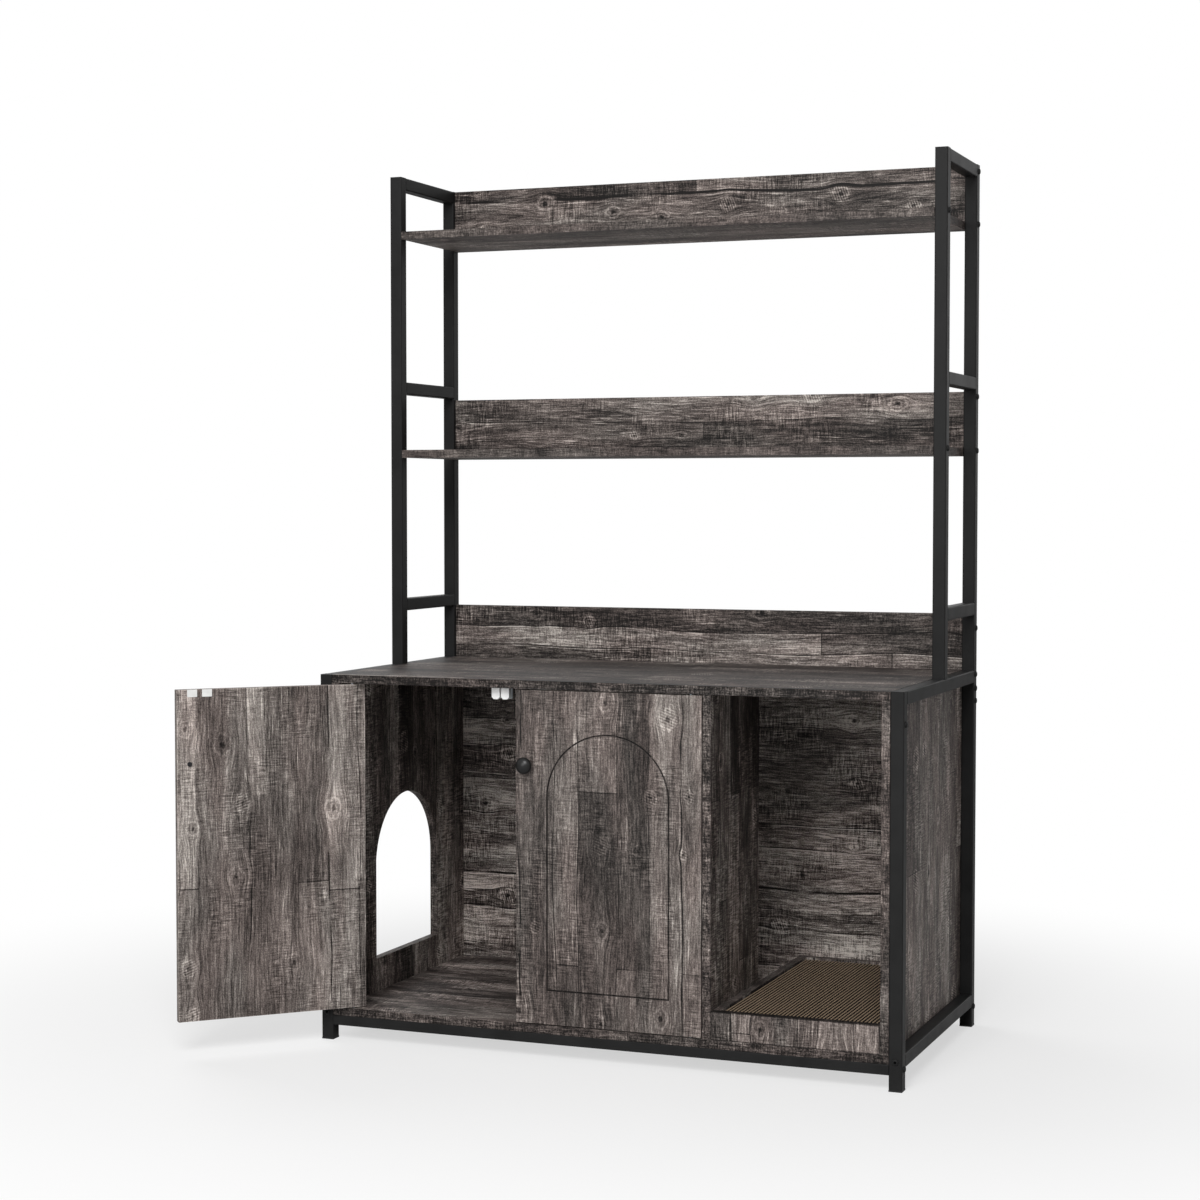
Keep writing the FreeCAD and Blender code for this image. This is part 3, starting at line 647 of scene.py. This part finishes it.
def arch_outline(bm, beyond):
    """A round-headed outline on a door's outer face, that far outside the groove's middle.
    Returns its edges."""
    half = ARCH_WIDTH / 2 + beyond
    spring = ARCH_CROWN - ARCH_WIDTH / 2
    foot = ARCH_FOOT - beyond
    known = set(bm.edges)
    first = bm.verts.new((DOOR_MIDDLE + half, DOOR_OUTER_FACE, spring))
    crown = bmesh.ops.spin(
        bm, geom=[first], cent=(DOOR_MIDDLE, DOOR_OUTER_FACE, spring), axis=(0, -1, 0),
        dvec=(0, 0, 0), angle=math.pi, steps=ARCH_STEPS, use_merge=False,
        use_duplicate=False)
    last = only(bmesh.types.BMVert, crown["geom_last"])[0]
    corners = [bm.verts.new((vert.co.x, DOOR_OUTER_FACE, foot)) for vert in (last, first)]
    for pair in ((last, corners[0]), corners, (corners[1], first)):
        bm.edges.new(pair)
    return [edge for edge in bm.edges if edge not in known]


def push(bm, edges, depth):
    """Extrudes edges straight into the board and returns the new edges at the bottom."""
    made = bmesh.ops.extrude_edge_only(bm, edges=edges)["geom"]
    verts = only(bmesh.types.BMVert, made)
    bmesh.ops.translate(bm, vec=(0, depth, 0), verts=verts)
    return [edge for edge in only(bmesh.types.BMEdge, made)
            if all(vert in verts for vert in edge.verts)]


def routed_door(side):
    """The board of one door, with its round-headed groove routed in the outer face."""
    bm = bmesh.new()
    corners = bmesh.ops.create_grid(bm, x_segments=1, y_segments=1, size=0.5)["verts"]
    bmesh.ops.delete(bm, geom=bm.faces[:], context="FACES_ONLY")
    wide, tall = DOOR_FREE_EDGE - DOOR_HINGE_EDGE, DOOR_TOP - DOOR_BOTTOM
    middle = Vector((DOOR_MIDDLE, DOOR_OUTER_FACE, (DOOR_BOTTOM + DOOR_TOP) / 2))
    stand = (Matrix.Translation(middle) @ Matrix.Rotation(QUARTER_TURN, 4, "X")
             @ Matrix.Diagonal((wide, tall, 1, 1)))
    bmesh.ops.transform(bm, matrix=stand, verts=corners)
    border = bm.edges[:]
    outer = arch_outline(bm, GROOVE_WIDTH / 2)
    inner = arch_outline(bm, -GROOVE_WIDTH / 2)
    bmesh.ops.triangle_fill(bm, use_beauty=True, use_dissolve=False, edges=border + outer)
    bmesh.ops.contextual_create(bm, geom=inner)
    floor = push(bm, outer, GROOVE_DEPTH) + push(bm, inner, GROOVE_DEPTH)
    bmesh.ops.bridge_loops(bm, edges=floor)
    bmesh.ops.contextual_create(bm, geom=push(bm, border, BOARD))
    bmesh.ops.transform(bm, matrix=on_door(side), verts=bm.verts)
    bmesh.ops.recalc_face_normals(bm, faces=bm.faces)
    door = finish_piece(bm, f"{side}_routed_door", laminates[f"{side}_door"],
                        f"{side}_door", replaces=(f"{side}_door",))
    soften_edges(door, ARRIS)


for side in SIDES:
    routed_door(side)


# ---------------------------------------------------------------- knobs
KNOB_HEIGHT = 557 * MM
KNOB_FROM_PIVOT = 323.25 * MM
KNOB_REACH = 30 * MM
KNOB_RADIUS = 16 * MM
KNOB_RIM_HEIGHT = 19 * MM  # where the head is widest
KNOB_NECK_RADIUS = 6.5 * MM
KNOB_NECK_TOP = 12 * MM
KNOB_FOOT = [(0, 0), (8.5 * MM, 0), (8.5 * MM, 1.2 * MM), (7 * MM, 2.6 * MM)]
HOLLOW_STEPS, DOME_STEPS, KNOB_STEPS = 6, 12, 40
DOME_START = math.radians(-25)


def knob_outline():
    """Foot, neck, hollow and dome, as radius and height over the door."""
    points = KNOB_FOOT + [
        (KNOB_NECK_RADIUS, 5 * MM), (KNOB_NECK_RADIUS, KNOB_NECK_TOP - 2 * MM)]
    hollow_wide = KNOB_RADIUS - KNOB_NECK_RADIUS - MM
    hollow_high = KNOB_RIM_HEIGHT - KNOB_NECK_TOP - 2 * MM
    for step in range(HOLLOW_STEPS + 1):  # the hollow under the head
        turn = QUARTER_TURN * step / HOLLOW_STEPS
        points.append((KNOB_NECK_RADIUS + hollow_wide * math.sin(turn) ** 1.5,
                       KNOB_NECK_TOP + hollow_high * (1 - math.cos(turn))))
    for step in range(DOME_STEPS + 1):  # the rim and the dome, which ends on the axis
        turn = DOME_START + (QUARTER_TURN - DOME_START) * step / DOME_STEPS
        points.append((KNOB_RADIUS * math.cos(turn) if step < DOME_STEPS else 0,
                       KNOB_RIM_HEIGHT + (KNOB_REACH - KNOB_RIM_HEIGHT) * math.sin(turn)))
    return points


for side in SIDES:
    bm = bmesh.new()
    turned(bm, knob_outline(), KNOB_STEPS)
    upright = Matrix.Rotation(QUARTER_TURN, 4, "X")
    seat = Matrix.Translation((KNOB_FROM_PIVOT, DOOR_OUTER_FACE, KNOB_HEIGHT))
    bmesh.ops.transform(bm, matrix=on_door(side) @ seat @ upright, verts=bm.verts)
    bmesh.ops.recalc_face_normals(bm, faces=bm.faces)
    finish_piece(bm, f"{side}_domed_knob", lacquer, f"{side}_door",
                 smooth_below=50, replaces=(f"{side}_knob",))


# ---------------------------------------------------------------- frame bolts
# Button-head bolts with a hexagon socket hold the ladders to the boards and the rails.
BOLT_RADIUS = 6 * MM
BOLT_HEAD = 3.2 * MM
BOLT_RIM = 0.5 * MM
BOLT_FLAT_RADIUS = 3.2 * MM
BOLT_DOME_STEPS, BOLT_STEPS = 5, 24
SOCKET_RADIUS = 2.5 * MM
SOCKET_DEPTH = 1.6 * MM


def bolt_head():
    """One bolt head standing on the xy plane, as a mesh to be copied."""
    bm = bmesh.new()
    outline = [(BOLT_RADIUS, 0), (BOLT_RADIUS, BOLT_RIM)]
    for step in range(1, BOLT_DOME_STEPS + 1):
        turn = QUARTER_TURN * step / BOLT_DOME_STEPS
        outline.append((BOLT_FLAT_RADIUS + (BOLT_RADIUS - BOLT_FLAT_RADIUS) * math.cos(turn),
                        BOLT_RIM + (BOLT_HEAD - BOLT_RIM) * math.sin(turn)))
    turned(bm, outline, BOLT_STEPS)
    rim = [edge for edge in bm.edges if all(v.co.z > BOLT_HEAD - 1e-6 for v in edge.verts)]
    hexagon = bmesh.ops.create_circle(
        bm, segments=6, radius=SOCKET_RADIUS,
        matrix=Matrix.Translation((0, 0, BOLT_HEAD)))["verts"]
    loop = [edge for edge in bm.edges if all(v in hexagon for v in edge.verts)]
    bmesh.ops.bridge_loops(bm, edges=rim + loop)
    deeper = bmesh.ops.extrude_edge_only(bm, edges=loop)["geom"]
    bmesh.ops.translate(bm, vec=(0, 0, -SOCKET_DEPTH),
                        verts=only(bmesh.types.BMVert, deeper))
    bmesh.ops.holes_fill(bm, edges=bm.edges, sides=0)
    bmesh.ops.recalc_face_normals(bm, faces=bm.faces)
    mesh = bpy.data.meshes.new("bolt_head")
    bm.to_mesh(mesh)
    bm.free()
    return mesh


ONTO_FRONT = Matrix.Rotation(QUARTER_TURN, 4, "X")
ONTO_REAR = Matrix.Rotation(-QUARTER_TURN, 4, "X")
# Each side's outer face, the middle of its columns of tube and the turn onto that face.
FRAME_SIDES = {
    "left": (FRAME_LEFT, FRAME_LEFT + TUBE / 2, Matrix.Rotation(-QUARTER_TURN, 4, "Y")),
    "right": (FRAME_RIGHT, FRAME_RIGHT - TUBE / 2, Matrix.Rotation(QUARTER_TURN, 4, "Y")),
}
# The middle of each column of side bolts, and their heights in millimetres.
SIDE_BOLTS = [
    (FRAME_REAR - TUBE / 2, (1704, 1600, 1260, 1153, 800, 708, 680, 655, 40)),
    (HUTCH_FRONT + TUBE / 2, (1600, 1153)),
    (FRAME_FRONT + TUBE / 2, (657, 40)),
]
END_BOLT_HEIGHT = 54 * MM

bolt = bolt_head()
for side, (outer, column, onto_side) in FRAME_SIDES.items():
    places = [Matrix.Translation((outer, y, height * MM)) @ onto_side
              for y, heights in SIDE_BOLTS for height in heights]
    places += [Matrix.Translation((column, y, END_BOLT_HEIGHT)) @ onto_end
               for y, onto_end in ((FRAME_FRONT, ONTO_FRONT), (FRAME_REAR, ONTO_REAR))]
    bm = bmesh.new()
    for matrix in places:
        known = len(bm.verts)
        bm.from_mesh(bolt)
        bm.verts.ensure_lookup_table()
        bmesh.ops.transform(bm, matrix=matrix, verts=bm.verts[known:])
    finish_piece(bm, f"{side}_frame_bolts", coat, "root", smooth_below=40)
bpy.data.meshes.remove(bolt)


# ---------------------------------------------------------------- scratch pad
# Strips of corrugated cardboard stand on edge side by side and run from front to back:
# between two flat liners goes one waved paper, cut a little lower. The pitch is that of
# the lines in the photograph. Liners and waved papers are drawn several times as thick as
# real ones, and the waves longer, so that the ridges show.
STRIP = 7.0 * MM
LINER = 2.6 * MM
LINER_EASING = 0.1 * MM
LINER_SHORT, LINER_LOW = 1.2 * MM, 0.5 * MM  # the most that a liner is cut short or low
FLUTE = 14 * MM
FLUTE_STEPS = 4
FLUTE_START = (0.45, 0.6)  # flutes that a strip may start before the pad does
FLUTE_BELOW = 1.2 * MM
PAPER = 0.9 * MM
PAPER_SHORT = 1.0 * MM


def scratch_pad():
    """The pad: all its waved papers, cut to length and given a thickness, then all its
    flat liners."""
    low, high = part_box("scratch_pad")
    long, tall = high.y - low.y, high.z - low.z
    strips = round((high.x - low.x - LINER) / STRIP)
    pitch = (high.x - low.x - LINER) / strips
    sway = (pitch - LINER - PAPER) / 2
    flutes = math.ceil(long / FLUTE) + 1
    dice = random.Random(7)
    bm = bmesh.new()
    for strip in range(strips):
        middle = low.x + LINER / 2 + pitch * (strip + 0.5)
        start = low.y - FLUTE * dice.uniform(*FLUTE_START)
        points = [bm.verts.new((middle, start, low.z))]
        for step in range(1, flutes * FLUTE_STEPS + 1):
            flutes_on = step / FLUTE_STEPS
            points.append(bm.verts.new((middle + sway * math.sin(math.tau * flutes_on),
                                        start + FLUTE * flutes_on, low.z)))
        edges = [bm.edges.new(pair) for pair in zip(points, points[1:])]
        raised = bmesh.ops.extrude_edge_only(bm, edges=edges)["geom"]
        bmesh.ops.translate(bm, vec=(0, 0, tall - FLUTE_BELOW),
                            verts=only(bmesh.types.BMVert, raised))
    for end, outwards in ((low.y + PAPER_SHORT, -1), (high.y - PAPER_SHORT, 1)):
        geom = bm.verts[:] + bm.edges[:] + bm.faces[:]
        bmesh.ops.bisect_plane(bm, geom=geom, dist=1e-7, plane_co=(0, end, 0),
                               plane_no=(0, outwards, 0), clear_outer=True)
    bmesh.ops.solidify(bm, geom=bm.faces[:], thickness=PAPER)
    for strip in range(strips + 1):
        height = tall + dice.uniform(-LINER_LOW, 0.0)
        length = long - dice.uniform(0, LINER_SHORT)
        place = (low.x + LINER / 2 + pitch * strip, (low.y + high.y) / 2,
                 low.z + height / 2)
        eased_block(bm, (LINER, length, height), place, LINER_EASING)
    bmesh.ops.recalc_face_normals(bm, faces=bm.faces)
    finish_piece(bm, "corrugated_pad", kraft, "scratch_pad",
                 replaces=("scratch_pad",))


scratch_pad()


# ---------------------------------------------------------------- catch brackets
# A thin plated angle hangs beside each pair of catches, from the tabletop's underside. It
# goes with the catches' slot.
BRACKET_DROP = 21 * MM
BRACKET_DEEP = 5 * MM
BRACKET_FOOT = 6 * MM
BRACKET_SHEET = 1.0 * MM
BRACKET_EASING = 0.2 * MM
BRACKET_CLEAR = 4 * MM  # from the catches to the sheet's middle

for side in SIDES:
    low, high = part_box(f"{side}_catches")
    x, y = high.x + BRACKET_CLEAR, (low.y + high.y) / 2
    bottom = TABLETOP_UNDERSIDE - BRACKET_DROP
    bm = bmesh.new()
    eased_block(bm, (BRACKET_SHEET, BRACKET_DEEP, BRACKET_DROP),
                (x, y, TABLETOP_UNDERSIDE - BRACKET_DROP / 2), BRACKET_EASING)
    eased_block(bm, (BRACKET_FOOT, BRACKET_DEEP, BRACKET_SHEET),
                (x - BRACKET_FOOT / 2, y, bottom + BRACKET_SHEET / 2), BRACKET_EASING)
    finish_piece(bm, f"{side}_catch_bracket", zinc, "root")


# ---------------------------------------------------------------- floor, light, camera
FLOOR_RADIUS = 40
FLOOR_FADE = (0.7, 2.0)  # from its own light to plain white, by distance from the middle
FLOOR_WHITE_NEAR = 0.6  # the share of plain white close to the cabinet
WORLD_FILL = 0.13
PLAIN_WHITE = {"Color": (1, 1, 1, 1), "Strength": 1.0}


def stage():
    """A round pale floor, which runs out to plain white where it meets the backdrop."""
    bm = bmesh.new()
    bmesh.ops.create_circle(bm, cap_ends=True, segments=64, radius=FLOOR_RADIUS)
    floor = link_mesh(bm, "floor")
    material, tree, shader = new_material("pale_studio_floor")
    set_inputs(tree, shader, {"Base Color": hex_colour("#f2f2f2"), "Roughness": 0.9})
    place = add(tree, "TexCoord", out=3)
    distance = add(tree, "VectorMath", {0: place}, out=1, operation="LENGTH")
    fade = add(tree, "MapRange", {
        "Value": distance, "From Min": FLOOR_FADE[0], "From Max": FLOOR_FADE[1],
        "To Min": FLOOR_WHITE_NEAR, "To Max": 1.0}, interpolation_type="SMOOTHSTEP")
    seen = add(tree, "LightPath", out=0)
    seen = add(tree, "Math", {0: fade, 1: seen}, operation="MULTIPLY")
    white = add(tree, "Emission", PLAIN_WHITE)
    mixed = add(tree, "MixShader", {0: seen, 1: shader.outputs[0], 2: white})
    tree.links.new(mixed, tree.nodes["Material Output"].inputs["Surface"])
    give(floor, material)


def area_light(name, azimuth, elevation, distance, size, power, target=(0, 0, 0.8)):
    """A square lamp that looks at the target: azimuth 0 stands in front, 90 to the
    right."""
    data = bpy.data.lights.new(name, "AREA")
    data.shape = "SQUARE"
    data.size = size
    data.energy = power
    lamp = bpy.data.objects.new(name, data)
    bpy.context.scene.collection.objects.link(lamp)
    turn, rise = math.radians(azimuth), math.radians(elevation)
    away = Vector((math.sin(turn) * math.cos(rise), -math.cos(turn) * math.cos(rise),
                   math.sin(rise)))
    lamp.location = Vector(target) + away * distance
    lamp.rotation_euler = (-away).to_track_quat("-Z", "Y").to_euler()


def world():
    """Plain white to the eye and in reflections, and a soft even fill on the object."""
    studio = bpy.data.worlds.new("studio")
    bpy.context.scene.world = studio
    studio.use_nodes = True
    tree = studio.node_tree
    tree.nodes.clear()
    path = add(tree, "LightPath").node.outputs
    seen = add(tree, "Math", {0: path["Is Camera Ray"], 1: path["Is Transmission Ray"]},
               operation="MAXIMUM")
    seen = add(tree, "Math", {0: seen, 1: path["Is Glossy Ray"]}, operation="MAXIMUM")
    fill = add(tree, "Background", {"Color": (1, 1, 1, 1), "Strength": WORLD_FILL})
    white = add(tree, "Background", PLAIN_WHITE)
    mixed = add(tree, "MixShader", {0: seen, 1: fill, 2: white})
    output = tree.nodes.new("ShaderNodeOutputWorld")
    tree.links.new(mixed, output.inputs["Surface"])


# The camera stands where the photograph's lines meet: its place in the frame, its turn
# to the left and its dip in degrees, and a focal length of 2352.8 pixels in a frame
# 1200 pixels wide.
CAMERA_PLACE = (1.70096, -4.22920, 1.05540)
CAMERA_TURN = 21.501
CAMERA_DIP = 2.438
FOCAL_PIXELS = 2352.8
FRAME_PIXELS = 1200
SENSOR_WIDTH = 36  # millimetres


def camera():
    data = bpy.data.cameras.new("camera")
    data.sensor_width = SENSOR_WIDTH
    data.lens = SENSOR_WIDTH * FOCAL_PIXELS / FRAME_PIXELS
    data.clip_end = 100
    view = bpy.data.objects.new("camera", data)
    bpy.context.scene.collection.objects.link(view)
    view.location = CAMERA_PLACE
    view.rotation_euler = (math.radians(90 - CAMERA_DIP), 0, math.radians(CAMERA_TURN))
    bpy.context.scene.camera = view


stage()
world()
area_light("key", 14, 34, 5.0, 2.2, 195)
area_light("fill", -10, 5, 5.5, 1.8, 70, target=(0.3, 0, 1.3))
area_light("rear", 240, 42, 5.5, 3.0, 80)
camera()
bpy.context.scene.view_settings.view_transform = "Standard"
